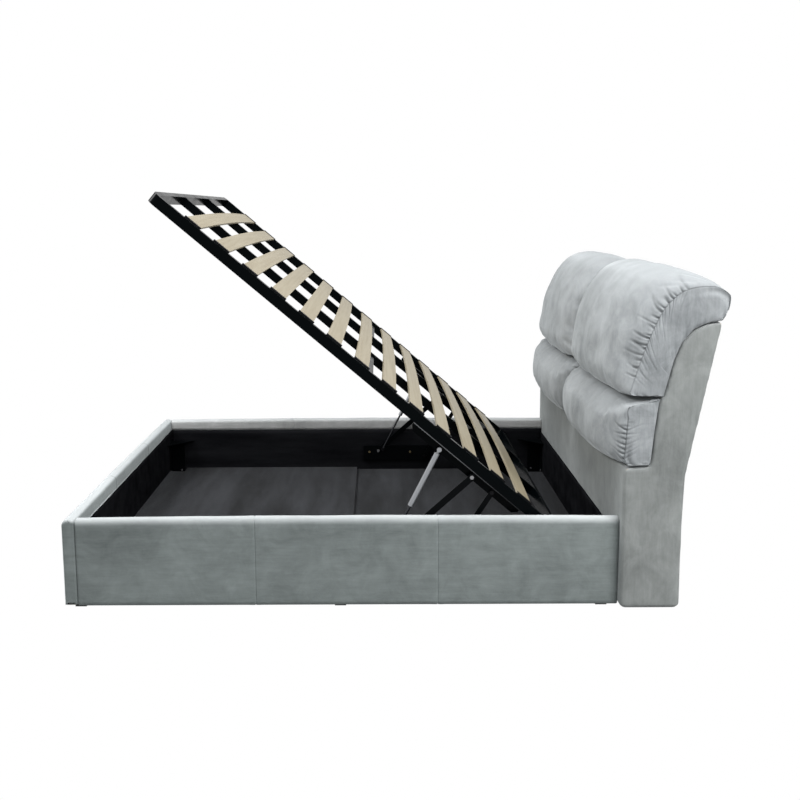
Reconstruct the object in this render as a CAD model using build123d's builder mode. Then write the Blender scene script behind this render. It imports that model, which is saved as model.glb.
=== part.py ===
from build123d import *
import math
import os

# Ottoman storage bed: an upholstered box whose slatted platform lifts on two linkages.
# Millimetres. X runs from the foot board to the headboard, Y across the bed, Z up.
# The near side is -Y. The origin lies on the floor, in the middle of the whole bed.

os.makedirs("parts", exist_ok=True)

# Mattress and box
mattress_width = 1800.0
mattress_length = 2000.0
mattress_play = 18.0
rail_thickness = 50.0
rail_rise = 328.0
glide_height = 5.0
glide_width = 42.0
glide_inset = 60.0
cover_thickness = 7.0
cover_turn_in = 50.0
cover_round = 12.0
lining_thickness = 6.0
board_reach = 389.7

inner_half = mattress_width / 2
outer_half = inner_half + rail_thickness
foot_x = -(rail_thickness + mattress_length + mattress_play + board_reach) / 2
foot_inner_x = foot_x + rail_thickness
head_x = foot_inner_x + mattress_length + mattress_play
rail_bottom = glide_height
rail_top = rail_bottom + rail_rise
lining_top = rail_top - cover_turn_in
head_lining_top = 262.0

# Clearances and overruns
seat_gap = 0.3
running_gap = 0.05
cut_run = 20.0

# Storage floor
floor_board = 12.0
head_floor_top = 61.0
floor_seam_share = 0.5015
floor_lap = 30.0
floor_notch = 80.0
bearer_width = 45.0
bearer_height = 36.0
foot_bearer_share = (0.22, 0.62)
head_bearer_share = (0.03, 0.42, 0.80)

foot_floor_top = head_floor_top + floor_board
seam_x = foot_inner_x + floor_seam_share * (head_x - foot_inner_x)

# Corner brackets that the closed platform rests on
bracket_sheet = 3.0
bracket_leg = 125.0
bracket_flange = 70.0
bracket_bottom = 42.0
bracket_top = 225.0
bracket_bolt_rise = 20.0
bracket_bolt_in = 50.0
bolt_head_radius = 6.5
bolt_head_height = 4.0
bolt_head_taper = 25.0

# Platform frame, in its own plane: along it, across it, and up from its top face
platform_short = 50.0
platform_play = 10.0
tube_depth = 40.0
tube_width = 22.0
tube_wall = 1.5
bend_radius = 26.0
inner_bar_drop = 6.0
inner_bar_width = 20.0
tie_width = 20.0
tie_drop = 14.0
tie_place_share = 0.528
closed_gap = 0.5

platform_length = mattress_length - platform_short
platform_half = inner_half - platform_play
tube_inner_half = platform_half - tube_width
inner_bar_half = platform_half / 3
closed_top = bracket_top + closed_gap + tube_depth

# Bowed slats and their holders
slat_count = 13
slat_width = 64.0
slat_thickness = 8.0
slat_first = 142.0
slat_end_space = 212.0
slat_bow = 14.0
slat_proud = 2.0
slat_end_gap = 2.0
holder_width = 72.0
holder_reach = 18.0
holder_wall = 1.5
holder_lip = 2.0
holder_base = 5.5
holder_play = 1.0

slat_pitch = (platform_length - slat_end_space - slat_first) / (slat_count - 1)

# Lift linkage: pivots on the box, then pivots on the platform, all set out from the head
arm_base_back = 890.0
arm_base_z = 166.0
strut_base_ahead = 25.0
strut_base_z = 178.5
rear_base_z = 140.0
arm_length = 467.0
arm_open_angle = 41.8
platform_open_angle = 40.4
pivot_drop = 60.5
arm_pivot_back = 391.5
strut_pivot_back = 550.0
rear_pivot_back = 290.0

# Layers of the linkage, measured inward from the rail
arm_layer = 4.5
inner_web_layer = 9.0
strut_layer = 23.5
rear_arm_layer = 29.0
platform_web_layer = 34.0
sheet = 3.0
arm_sheet = 4.0
arm_width = 25.0
rear_arm_width = 20.0
pivot_radius = 5.0
pivot_head_radius = 8.0
pivot_head_height = 3.0
spacer_radius = 7.0
nut_height = 4.0
channel_length = 372.0
channel_lead = 80.0
channel_bottom = 112.0
channel_top = 193.0
channel_bolt_along_share = (0.086, 0.68)
channel_bolt_z = 160.0
flange_overhang = 1.0
angle_back = 688.0
angle_length = 523.0
web_drop = 29.0
angle_end_slope = 18.0

# Gas struts
cylinder_radius = 10.0
cylinder_wall = 2.0
cylinder_start = 16.0
cylinder_end = 241.0
gland_length = 6.0
rod_radius = 5.0
rod_length = 240.0
socket_radius = 9.0
socket_half = 6.5
stud_radius = 3.5
stud_flange_radius = 7.0
neck_radius = 4.5

# Headboard, measured back from its front face and up from the floor
board_height = 1268.0
board_overhang = 43.0
board_cover = 8.0
frame_board = 10.0
rib_thickness = 18.0
rib_place_share = (-0.985, -0.33, 0.33, 0.985)
cushion_gap = 0.5
cushion_middle_gap = 2.0
body_outline_share = (
    (0.0, 0.0), (0.0, 0.4145), (0.021, 0.4235), (0.238, 0.4265), (0.268, 0.520), (0.303, 0.614),
    (0.345, 0.632), (0.385, 0.680), (0.425, 0.730), (0.490, 0.780), (0.590, 0.817), (0.715, 0.836),
    (0.868, 0.842), (0.796, 0.732), (0.645, 0.5025), (0.582, 0.399), (0.566, 0.267), (0.562, 0.0),
)

# Cushion sections at the end seam and at the fullest place: each corner, and the rise of
# the bow that follows it as a share of the reach
upper_seam_share = (
    (0.360, 0.628, 0.0), (0.023, 0.632, 0.002), (0.122, 0.744, 0.009), (0.261, 0.868, 0.019),
    (0.472, 0.929, 0.0135), (0.726, 0.938, 0.036), (0.908, 0.912, 0.020), (0.840, 0.842, 0.0),
)
upper_full_share = (
    (0.360, 0.620, 0.0), (-0.045, 0.610, 0.050), (-0.130, 0.706, 0.016), (-0.040, 0.844, 0.029),
    (0.195, 0.963, 0.044), (0.580, 0.984, 0.033), (0.974, 0.917, 0.080), (0.850, 0.842, 0.0),
)
lower_seam_share = (
    (0.385, 0.626, 0.0), (0.030, 0.600, -0.012), (0.021, 0.565, -0.002), (0.0, 0.460, -0.017),
    (0.021, 0.429, 0.0), (0.330, 0.4285, 0.0),
)
lower_full_share = (
    (0.385, 0.620, 0.0), (-0.050, 0.607, -0.036), (-0.200, 0.562, -0.022), (-0.195, 0.455, -0.028),
    (-0.070, 0.402, 0.0), (0.330, 0.4285, 0.0),
)
bow_step_share = 0.030
crown_place_share = (0.0, 0.035, 0.11, 0.27, 0.50, 0.72, 0.89, 0.965, 1.0)
crown_fullness_share = (-0.10, 0.48, 0.84, 0.98, 1.0, 0.91, 0.66, 0.35, 0.0)

board_half = outer_half + board_overhang
arm_pivot_along = platform_length - arm_pivot_back
strut_pivot_along = platform_length - strut_pivot_back
rear_pivot_along = platform_length - rear_pivot_back


# Places of the linkage, open as photographed and closed
def turned(along, up, angle):
    """A vector in the XZ plane, turned up from X by an angle in degrees."""
    c = math.cos(math.radians(angle))
    s = math.sin(math.radians(angle))
    return (along * c - up * s, along * s + up * c)


def span(a, b):
    return math.hypot(b[0] - a[0], b[1] - a[1])


def heading(a, b):
    return math.degrees(math.atan2(b[1] - a[1], b[0] - a[0]))


arm_base = (head_x - arm_base_back, arm_base_z)
strut_base = (arm_base[0] + strut_base_ahead, strut_base_z)
channel_x = arm_base[0] - channel_lead
arm_run = turned(arm_length, 0, arm_open_angle)
arm_top = (arm_base[0] + arm_run[0], arm_base[1] + arm_run[1])
arm_closed_angle = math.degrees(math.asin((closed_top - pivot_drop - arm_base_z) / arm_length))
closed_run = turned(arm_length, 0, arm_closed_angle)
arm_top_closed = (arm_base[0] + closed_run[0], arm_base[1] + closed_run[1])


def platform_point(along, drop):
    """A point of the open platform, from its foot end and below its top face."""
    run = turned(along - arm_pivot_along, pivot_drop - drop, -platform_open_angle)
    return (arm_top[0] + run[0], arm_top[1] + run[1])


def closed_point(along, drop):
    """The same point with the platform closed."""
    return (arm_top_closed[0] + along - arm_pivot_along, arm_top_closed[1] + pivot_drop - drop)


strut_top = platform_point(strut_pivot_along, pivot_drop)
strut_top_closed = closed_point(strut_pivot_along, pivot_drop)
rear_top = platform_point(rear_pivot_along, pivot_drop)
rear_top_closed = closed_point(rear_pivot_along, pivot_drop)

# The rear arm's base is as far from its open place as from its closed place
rear_mid = ((rear_top[0] + rear_top_closed[0]) / 2, (rear_top[1] + rear_top_closed[1]) / 2)
rear_chord = (rear_top_closed[0] - rear_top[0], rear_top_closed[1] - rear_top[1])
rear_shift = (rear_base_z - rear_mid[1]) / rear_chord[0]
rear_base = (rear_mid[0] - rear_chord[1] * rear_shift, rear_base_z)
rear_length = span(rear_base, rear_top)
strut_length = span(strut_base, strut_top)

arm_turn = arm_open_angle - arm_closed_angle
platform_turn = arm_turn + platform_open_angle
rear_turn = heading(rear_base, rear_top) - heading(rear_base, rear_top_closed)
strut_turn = heading(strut_base, strut_top) - heading(strut_base, strut_top_closed)
cylinder_turn = strut_turn + platform_open_angle
strut_stroke = strut_length - span(strut_base, strut_top_closed)

platform_origin = platform_point(0, 0)
along_dir = (
    math.cos(math.radians(platform_open_angle)),
    0,
    -math.sin(math.radians(platform_open_angle)),
)
up_dir = (
    math.sin(math.radians(platform_open_angle)),
    0,
    math.cos(math.radians(platform_open_angle)),
)
platform_plane = Plane(
    origin=(platform_origin[0], 0, platform_origin[1]), x_dir=along_dir, z_dir=up_dir
)
sides = ((-1, "near"), (1, "far"))


def platform_section(along):
    """A plane across the platform, with its x across the bed and its y up."""
    place = platform_point(along, 0)
    return Plane(origin=(place[0], 0, place[1]), x_dir=(0, 1, 0), z_dir=along_dir)


def link_plane(place, angle, y):
    """A vertical plane through a pivot, with its x along the link."""
    direction = turned(1, 0, angle)
    return Plane(
        origin=(place[0], y, place[1]), x_dir=(direction[0], 0, direction[1]), z_dir=(0, -1, 0)
    )


def layer_top(side, depth, thickness):
    """The higher Y of a layer of the linkage that starts a depth inward of the rail."""
    return max(side * (inner_half - depth), side * (inner_half - depth - thickness))


def pivot_plane(place, side, depth):
    """A plane at a pivot whose normal points inward from the rail."""
    y = side * (inner_half - depth)
    return Plane(origin=(place[0], y, place[1]), x_dir=(1, 0, 0), z_dir=(0, -side, 0))


def keep(builder, label):
    builder.part.label = label
    export_step(builder.part, "parts/" + label + ".step")


# Side rails and foot board: a board, its velvet cover and its black lining
rail_core_thickness = rail_thickness - cover_thickness - lining_thickness
core_round = cover_round - cover_thickness


def rail_section(side):
    """The plane of a side rail's section, its x pointing inward and its y up."""
    return Plane(origin=(foot_inner_x, side * outer_half, 0), x_dir=(0, -side, 0), z_dir=(-side, 0, 0))


def rail_run(side):
    return side * (foot_inner_x - head_x)


foot_section = Plane(origin=(foot_x, outer_half, 0), x_dir=(1, 0, 0), z_dir=(0, -1, 0))


def inside_corner(vertex):
    """Whether a corner of the cover's section lies against the board's top."""
    return abs(vertex.Y - (rail_top - cover_thickness)) < running_gap


def build_rail(section, run, label, end_skin=0):
    """A rail's three pieces. A cover with an end skin closes both ends of the board."""
    inner = section.offset(math.copysign(end_skin, run))
    inner_run = run - 2 * math.copysign(end_skin, run)
    with BuildPart() as core:
        with BuildSketch(inner) as outline:
            with Locations((cover_thickness, rail_bottom)):
                Rectangle(
                    rail_core_thickness, rail_rise - cover_thickness, align=(Align.MIN, Align.MIN)
                )
            fillet(outline.vertices().group_by(Axis.Y)[-1], core_round)
        extrude(amount=inner_run)
    keep(core, label + "_core")

    with BuildPart() as cover:
        with BuildSketch(section) as outline:
            with BuildLine():
                Polyline(
                    (0, rail_bottom),
                    (0, rail_top),
                    (rail_thickness, rail_top),
                    (rail_thickness, lining_top),
                    (rail_thickness - lining_thickness, lining_top),
                    (rail_thickness - lining_thickness, rail_top - cover_thickness),
                    (cover_thickness, rail_top - cover_thickness),
                    (cover_thickness, rail_bottom),
                    close=True,
                )
            make_face()
            fillet(outline.vertices().group_by(Axis.Y)[-1], cover_round)
            fillet(outline.vertices().filter_by(inside_corner), core_round)
        extrude(amount=run)
        if end_skin:
            for end in (section, section.offset(run - end_skin)):
                with BuildSketch(end) as outline:
                    with Locations((0, rail_bottom)):
                        Rectangle(rail_thickness, rail_rise, align=(Align.MIN, Align.MIN))
                    fillet(outline.vertices().group_by(Axis.Y)[-1], cover_round)
                extrude(amount=end_skin)
    keep(cover, label + "_cover")

    with BuildPart() as lining:
        with BuildSketch(inner):
            with Locations((rail_thickness - lining_thickness, rail_bottom)):
                Rectangle(
                    lining_thickness, lining_top - rail_bottom, align=(Align.MIN, Align.MIN)
                )
        extrude(amount=inner_run)
    keep(lining, label + "_lining")


for side, word in sides:
    build_rail(rail_section(side), rail_run(side), word + "_rail")
build_rail(foot_section, 2 * outer_half, "foot_board", cover_thickness)

# Storage floor: two boards that lap, on bearers with a foot in the middle
floor_half = inner_half - seat_gap
floor_head_x = head_x - lining_thickness - seat_gap


def build_floor(label, start, end, top, notch_x):
    with BuildPart() as board:
        with Locations((start, 0, top)):
            Box(end - start, 2 * floor_half, floor_board, align=(Align.MIN, Align.CENTER, Align.MAX))
        with Locations((notch_x, -floor_half, top), (notch_x, floor_half, top)):
            Box(2 * floor_notch, 2 * floor_notch, cut_run + floor_board, mode=Mode.SUBTRACT)
    keep(board, label)


build_floor("foot_floor_board", foot_inner_x + seat_gap, seam_x, foot_floor_top, foot_inner_x)
build_floor("head_floor_board", seam_x - floor_lap, floor_head_x, head_floor_top, head_x)

with BuildPart() as bearers:
    for share in foot_bearer_share:
        with Locations((foot_inner_x + share * (seam_x - foot_inner_x), 0, foot_floor_top - floor_board)):
            Box(
                bearer_width, 2 * floor_half, bearer_height + floor_board,
                align=(Align.CENTER, Align.CENTER, Align.MAX),
            )
    for share in head_bearer_share:
        with Locations((seam_x + share * (head_x - seam_x), 0, head_floor_top - floor_board)):
            Box(
                bearer_width, 2 * floor_half, bearer_height,
                align=(Align.CENTER, Align.CENTER, Align.MAX),
            )
keep(bearers, "floor_bearers")

# Glides under the rails and under the middle of each bearer
bearer_bottom = head_floor_top - floor_board - bearer_height
rail_middle = outer_half - rail_thickness / 2
rail_glide_places = [
    (x, y)
    for x in (foot_x + glide_inset, (foot_x + head_x) / 2, head_x - glide_inset)
    for y in (-rail_middle, rail_middle)
]
bearer_places = [
    (foot_inner_x + share * (seam_x - foot_inner_x), 0) for share in foot_bearer_share
] + [(seam_x + share * (head_x - seam_x), 0) for share in head_bearer_share]
with BuildPart() as glides:
    with Locations(*[(x, y, 0) for x, y in rail_glide_places]):
        Box(glide_width, glide_width, glide_height, align=(Align.CENTER, Align.CENTER, Align.MIN))
    with Locations(*[(x, y, 0) for x, y in bearer_places]):
        Box(bearer_width, bearer_width, bearer_bottom, align=(Align.CENTER, Align.CENTER, Align.MIN))
keep(glides, "glides")

# Corner brackets: two flanges against the corner under a triangular shelf
bracket_head_x = head_x - lining_thickness
corner_places = [
    (x, side * inner_half, turn, -side)
    for x, turn in ((foot_inner_x, 1), (bracket_head_x, -1))
    for side, word in sides
]

with BuildPart() as brackets:
    for x, y, along, across in corner_places:
        with BuildSketch(Plane.XY.offset(bracket_top - bracket_sheet)):
            with BuildLine():
                Polyline((x, y), (x + along * bracket_leg, y), (x, y + across * bracket_leg), close=True)
            make_face()
        extrude(amount=bracket_sheet)
        with BuildSketch(Plane.XY.offset(bracket_bottom)):
            with BuildLine():
                Polyline(
                    (x, y),
                    (x + along * bracket_flange, y),
                    (x + along * bracket_flange, y + across * bracket_sheet),
                    (x + along * bracket_sheet, y + across * bracket_sheet),
                    (x + along * bracket_sheet, y + across * bracket_flange),
                    (x, y + across * bracket_flange),
                    close=True,
                )
            make_face()
        extrude(amount=bracket_top - bracket_bottom)
keep(brackets, "corner_brackets")


def bolt_head(place, inward):
    """A bolt's hexagon head with sloped sides, standing on a wall and pointing inward."""
    with BuildSketch(Plane(origin=place, z_dir=inward)) as face:
        RegularPolygon(bolt_head_radius, 6)
    extrude(face.sketch, amount=bolt_head_height, taper=bolt_head_taper)


bracket_bolt_z = bracket_bottom + bracket_bolt_rise
with BuildPart() as bracket_bolts:
    for x, y, along, across in corner_places:
        bolt_head((x + along * bracket_bolt_in, y + across * bracket_sheet, bracket_bolt_z), (0, across, 0))
        bolt_head((x + along * bracket_sheet, y + across * bracket_bolt_in, bracket_bolt_z), (along, 0, 0))
keep(bracket_bolts, "bracket_bolts")

# Lift channels: a folded channel on each side rail that holds the base pivots
channel_bolt_places = [
    (channel_x + share * channel_length, channel_bolt_z)
    for share in channel_bolt_along_share
]
inner_web_face = inner_web_layer + sheet

for side, word in sides:
    with BuildPart() as channel:
        section = Plane(
            origin=(channel_x, side * inner_half, 0), x_dir=(0, -side, 0), z_dir=(-side, 0, 0)
        )
        with BuildSketch(section):
            with BuildLine():
                Polyline(
                    (0, channel_bottom),
                    (0, channel_top),
                    (sheet, channel_top),
                    (sheet, channel_bottom + sheet),
                    (inner_web_layer, channel_bottom + sheet),
                    (inner_web_layer, channel_top),
                    (inner_web_face, channel_top),
                    (inner_web_face, channel_bottom),
                    close=True,
                )
            make_face()
        extrude(amount=-side * channel_length)
        for place in (arm_base, rear_base):
            with BuildSketch(pivot_plane(place, side, sheet)):
                Circle(pivot_radius + running_gap)
            extrude(amount=inner_web_face, mode=Mode.SUBTRACT)
    keep(channel, word + "_lift_channel")

# Base pivots and the channels' bolts
rear_arm_end = rear_arm_layer + arm_sheet


def disc(place, side, start, end, radius):
    """A round length of a pivot, between two depths inward of the rail."""
    with BuildSketch(pivot_plane(place, side, start)) as face:
        Circle(radius)
    extrude(face.sketch, amount=end - start)


def hexagon(place, side, start, end, radius):
    with BuildSketch(pivot_plane(place, side, start)) as face:
        RegularPolygon(radius, 6)
    extrude(face.sketch, amount=end - start)


with BuildPart() as base_pivots:
    for side, word in sides:
        disc(arm_base, side, sheet, inner_web_face + pivot_head_height, pivot_radius)
        hexagon(arm_base, side, inner_web_face, inner_web_face + pivot_head_height, pivot_head_radius)
        disc(rear_base, side, sheet, rear_arm_end + seat_gap + pivot_head_height, pivot_radius)
        hexagon(rear_base, side, inner_web_face, rear_arm_layer - seat_gap, spacer_radius)
        hexagon(
            rear_base, side, rear_arm_end + seat_gap,
            rear_arm_end + seat_gap + pivot_head_height, pivot_head_radius,
        )
keep(base_pivots, "base_pivots")

with BuildPart() as channel_bolts:
    for side, word in sides:
        for place in channel_bolt_places:
            hexagon(place, side, inner_web_face, inner_web_face + bolt_head_height, bolt_head_radius)
keep(channel_bolts, "channel_bolts")


# Arms: flat bars with round ends
def build_arm(label, base, angle, length, width, side, depth):
    with BuildPart() as arm:
        with BuildSketch(link_plane(base, angle, layer_top(side, depth, arm_sheet))):
            with Locations((length / 2, 0)):
                SlotCenterToCenter(length, width)
            with Locations((0, 0), (length, 0)):
                Circle(pivot_radius + running_gap, mode=Mode.SUBTRACT)
        extrude(amount=arm_sheet)
    keep(arm, label)


for side, word in sides:
    build_arm(word + "_front_arm", arm_base, arm_open_angle, arm_length, arm_width, side, arm_layer)
    build_arm(
        word + "_rear_arm", rear_base, heading(rear_base, rear_top), rear_length,
        rear_arm_width, side, rear_arm_layer,
    )

# The rear arms' upper pins turn with the arms and stop just short of the platform
with BuildPart() as rear_pins:
    for side, word in sides:
        disc(
            rear_top, side, rear_arm_layer - pivot_head_height,
            platform_web_layer - seat_gap, pivot_radius,
        )
        hexagon(
            rear_top, side, rear_arm_layer - pivot_head_height, rear_arm_layer, pivot_head_radius
        )
keep(rear_pins, "rear_upper_pins")

# Platform angles: a flange under each side tube and a web that holds the pivots
web_bottom = tube_depth + sheet + web_drop
web_face = platform_web_layer + sheet
flange_start = platform_play - flange_overhang

for side, word in sides:
    with BuildPart() as angle_bar:
        with BuildSketch(platform_section(platform_length - angle_back)):
            with BuildLine():
                Polyline(
                    (side * (inner_half - flange_start), -tube_depth),
                    (side * (inner_half - web_face), -tube_depth),
                    (side * (inner_half - web_face), -web_bottom),
                    (side * (inner_half - platform_web_layer), -web_bottom),
                    (side * (inner_half - platform_web_layer), -tube_depth - sheet),
                    (side * (inner_half - flange_start), -tube_depth - sheet),
                    close=True,
                )
            make_face()
        extrude(amount=angle_length)
        chamfer(
            angle_bar.edges()
            .filter_by(Axis.Y)
            .filter_by(lambda edge: edge.length < sheet + running_gap)
            .group_by(lambda edge: platform_plane.to_local_coords(edge.center()).Z)[0],
            angle_end_slope,
        )
        for place, radius in ((arm_top, pivot_radius), (strut_top, stud_radius)):
            with BuildSketch(pivot_plane(place, side, platform_web_layer)):
                Circle(radius + running_gap)
            extrude(amount=sheet, mode=Mode.SUBTRACT)
        with BuildSketch(pivot_plane(rear_top, side, platform_web_layer)):
            RegularPolygon(pivot_head_radius + running_gap, 6)
        extrude(amount=sheet, mode=Mode.SUBTRACT)
    keep(angle_bar, word + "_platform_angle")

# Bolts through the platform angles: the front pivots, the rear nuts, set in hexagon
# holes, and the ball studs
head_start = arm_layer - seat_gap - pivot_head_height
with BuildPart() as platform_pivots:
    for side, word in sides:
        hexagon(arm_top, side, head_start, arm_layer - seat_gap, pivot_head_radius)
        disc(arm_top, side, head_start, web_face + nut_height, pivot_radius)
        hexagon(arm_top, side, arm_layer + arm_sheet + seat_gap, platform_web_layer, spacer_radius)
        hexagon(arm_top, side, web_face, web_face + nut_height, pivot_head_radius)
        hexagon(rear_top, side, platform_web_layer, web_face + nut_height, pivot_head_radius)
keep(platform_pivots, "platform_pivots")

with BuildPart() as ball_studs:
    for side, word in sides:
        disc(strut_top, side, strut_layer - stud_radius, web_face + nut_height, stud_radius)
        hexagon(
            strut_top, side, platform_web_layer - pivot_head_height, platform_web_layer,
            stud_flange_radius,
        )
        hexagon(strut_top, side, web_face, web_face + nut_height, stud_flange_radius)
keep(ball_studs, "ball_studs")

# Gas struts: the cylinder hangs on the platform, and the rod slides into it
strut_angle = heading(strut_base, strut_top)
strut_dir = turned(1, 0, strut_angle)


def strut_plane(side, from_base):
    """A plane across the strut, at a distance from its lower pivot."""
    return Plane(
        origin=(
            strut_base[0] + strut_dir[0] * from_base,
            side * (inner_half - strut_layer),
            strut_base[1] + strut_dir[1] * from_base,
        ),
        x_dir=(0, 1, 0),
        z_dir=(strut_dir[0], 0, strut_dir[1]),
    )


def strut_length_of(side, start, end, radius, mode=Mode.ADD):
    with BuildSketch(strut_plane(side, start)) as face:
        Circle(radius)
    extrude(face.sketch, amount=end - start, mode=mode)


cylinder_foot = strut_length - cylinder_end
cylinder_head = strut_length - cylinder_start
for side, word in sides:
    with BuildPart() as cylinder:
        strut_length_of(side, cylinder_foot, cylinder_head, cylinder_radius)
        with BuildSketch(strut_plane(side, cylinder_head - cylinder_wall)):
            RegularPolygon(neck_radius, 6)
        extrude(amount=cylinder_start + cylinder_wall)
        disc(strut_top, side, strut_layer - socket_half, strut_layer + socket_half, socket_radius)
        strut_length_of(
            side, cylinder_foot - cut_run, cylinder_head - gland_length,
            rod_radius + running_gap, Mode.SUBTRACT,
        )
        with BuildSketch(pivot_plane(strut_top, side, strut_layer - stud_radius - running_gap)):
            Circle(stud_radius + running_gap)
        extrude(amount=2 * socket_half, mode=Mode.SUBTRACT)
    keep(cylinder, word + "_strut_cylinder")

for side, word in sides:
    with BuildPart() as rod:
        strut_length_of(side, 0, rod_length, rod_radius)
        disc(strut_base, side, strut_layer - socket_half, strut_layer + socket_half, socket_radius)
        disc(strut_base, side, inner_web_face + seat_gap, strut_layer, stud_radius)
        hexagon(
            strut_base, side, inner_web_face + seat_gap,
            inner_web_face + seat_gap + pivot_head_height, stud_flange_radius,
        )
    keep(rod, word + "_strut_rod")

# Platform frame: side tubes, bent end tubes, inner bars and ties
tube_centre_half = platform_half - tube_width / 2
bend_place = tube_width / 2 + bend_radius

for side, word in sides:
    with BuildPart() as side_tube:
        with BuildSketch(platform_section(bend_place)):
            with Locations((side * tube_centre_half, -tube_depth / 2)):
                Rectangle(tube_width, tube_depth)
                Rectangle(tube_width - 2 * tube_wall, tube_depth - 2 * tube_wall, mode=Mode.SUBTRACT)
        extrude(amount=platform_length - 2 * bend_place)
    keep(side_tube, word + "_side_tube")


def end_outline(plane, end_along, inward, inset):
    """The bent outline of an end tube in the platform's plane, drawn in by an inset."""
    bend_half = platform_half - bend_place

    def place(along, y):
        return (end_along + inward * along, y)

    def bend(side, radius):
        slant = radius * math.cos(math.radians(45))
        return (
            place(bend_place, side * (bend_half + radius)),
            place(bend_place - slant, side * (bend_half + slant)),
            place(bend_place - radius, side * bend_half),
        )

    outer = bend_place - inset
    inner = bend_place - tube_width + inset
    with BuildSketch(plane) as outline:
        with BuildLine():
            ThreePointArc(*bend(-1, outer))
            Line(bend(-1, outer)[2], bend(1, outer)[2])
            ThreePointArc(*bend(1, outer))
            Line(bend(1, outer)[0], bend(1, inner)[0])
            ThreePointArc(*bend(1, inner))
            Line(bend(1, inner)[2], bend(-1, inner)[2])
            ThreePointArc(*bend(-1, inner))
            Line(bend(-1, inner)[0], bend(-1, outer)[0])
        make_face()
    return outline.sketch


def build_end_tube(label, end_along, inward):
    """The tube across an end of the platform, with a bend to each side tube."""
    with BuildPart() as tube:
        extrude(end_outline(platform_plane.offset(-tube_depth), end_along, inward, 0), amount=tube_depth)
        extrude(
            end_outline(platform_plane.offset(tube_wall - tube_depth), end_along, inward, tube_wall),
            amount=tube_depth - 2 * tube_wall,
            mode=Mode.SUBTRACT,
        )
    keep(tube, label)


build_end_tube("foot_end_tube", 0, 1)
build_end_tube("head_end_tube", platform_length, -1)

for side, word in sides:
    with BuildPart(platform_plane) as inner_bar:
        with Locations((platform_length / 2, side * inner_bar_half, -inner_bar_drop)):
            Box(
                platform_length - 2 * tube_width, inner_bar_width, tube_depth - inner_bar_drop,
                align=(Align.CENTER, Align.CENTER, Align.MAX),
            )
            Box(
                platform_length - 2 * tube_width, inner_bar_width - 2 * tube_wall,
                tube_depth - inner_bar_drop - tube_wall,
                align=(Align.CENTER, Align.CENTER, Align.MAX), mode=Mode.SUBTRACT,
            )
            Box(
                platform_length - 2 * tube_width, inner_bar_width, tube_wall,
                align=(Align.CENTER, Align.CENTER, Align.MAX),
            )
    keep(inner_bar, word + "_inner_bar")

tie_length = tube_inner_half - inner_bar_half - inner_bar_width / 2
tie_along = tie_place_share * platform_length
with BuildPart(platform_plane) as ties:
    for side, word in sides:
        tie_middle = side * (tube_inner_half - tie_length / 2)
        with Locations((tie_along, tie_middle, -tie_drop)):
            Box(tie_width, tie_length, tie_width, align=(Align.CENTER, Align.CENTER, Align.MAX))
        with Locations((tie_along, tie_middle, -tie_drop - tube_wall)):
            Box(
                tie_width - 2 * tube_wall, tie_length, tie_width - 2 * tube_wall,
                align=(Align.CENTER, Align.CENTER, Align.MAX), mode=Mode.SUBTRACT,
            )
keep(ties, "cross_ties")

# Bowed slats
slat_half = tube_inner_half - slat_end_gap
for index in range(slat_count):
    with BuildPart() as slat:
        with BuildSketch(platform_section(slat_first + index * slat_pitch)):
            with BuildLine():
                ThreePointArc((-slat_half, slat_proud), (0, slat_proud + slat_bow), (slat_half, slat_proud))
                Line((slat_half, slat_proud), (slat_half, slat_proud - slat_thickness))
                ThreePointArc(
                    (slat_half, slat_proud - slat_thickness),
                    (0, slat_proud + slat_bow - slat_thickness),
                    (-slat_half, slat_proud - slat_thickness),
                )
                Line((-slat_half, slat_proud - slat_thickness), (-slat_half, slat_proud))
            make_face()
        extrude(amount=slat_width)
    keep(slat, "slat_%02d" % (index + 1))

# Slat holders: a lipped shoe at each end of each slat
holder_under = slat_proud - slat_thickness - seat_gap
holder_over = slat_proud + holder_play
with BuildPart() as holders:
    for index in range(slat_count):
        start = slat_first + index * slat_pitch - (holder_width - slat_width) / 2
        with BuildSketch(platform_section(start)):
            for side, word in sides:
                with BuildLine():
                    Polyline(
                        (side * tube_inner_half, holder_over + holder_lip),
                        (side * tube_inner_half, holder_under - holder_base),
                        (side * (tube_inner_half - holder_reach), holder_under - holder_base),
                        (side * (tube_inner_half - holder_reach), holder_under),
                        (side * (tube_inner_half - holder_wall), holder_under),
                        (side * (tube_inner_half - holder_wall), holder_over),
                        (side * (tube_inner_half - holder_reach), holder_over),
                        (side * (tube_inner_half - holder_reach), holder_over + holder_lip),
                        close=True,
                    )
                make_face()
        extrude(amount=holder_width)
keep(holders, "slat_holders")


# Headboard body: board ribs and skin inside a velvet cover
def board_point(share):
    return (head_x + share[0] * board_reach, share[1] * board_height)


def board_face(inset):
    """The body's outline in the XZ plane, drawn in by an inset."""
    with BuildSketch(Plane.XZ) as face:
        with BuildLine():
            Polyline(*[board_point(share) for share in body_outline_share], close=True)
        make_face()
        if inset:
            offset(amount=-inset, kind=Kind.INTERSECTION)
    return face.sketch


def across(face, half, thickness):
    """A face extruded across the bed, from a place on the far side towards the near side."""
    return extrude(Pos(0, half, 0) * face, amount=thickness, dir=(0, -1, 0), mode=Mode.PRIVATE)


outer_face = board_face(0)
skin_face = board_face(board_cover)
hollow_face = board_face(board_cover + frame_board)
inner_board_half = board_half - board_cover

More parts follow.
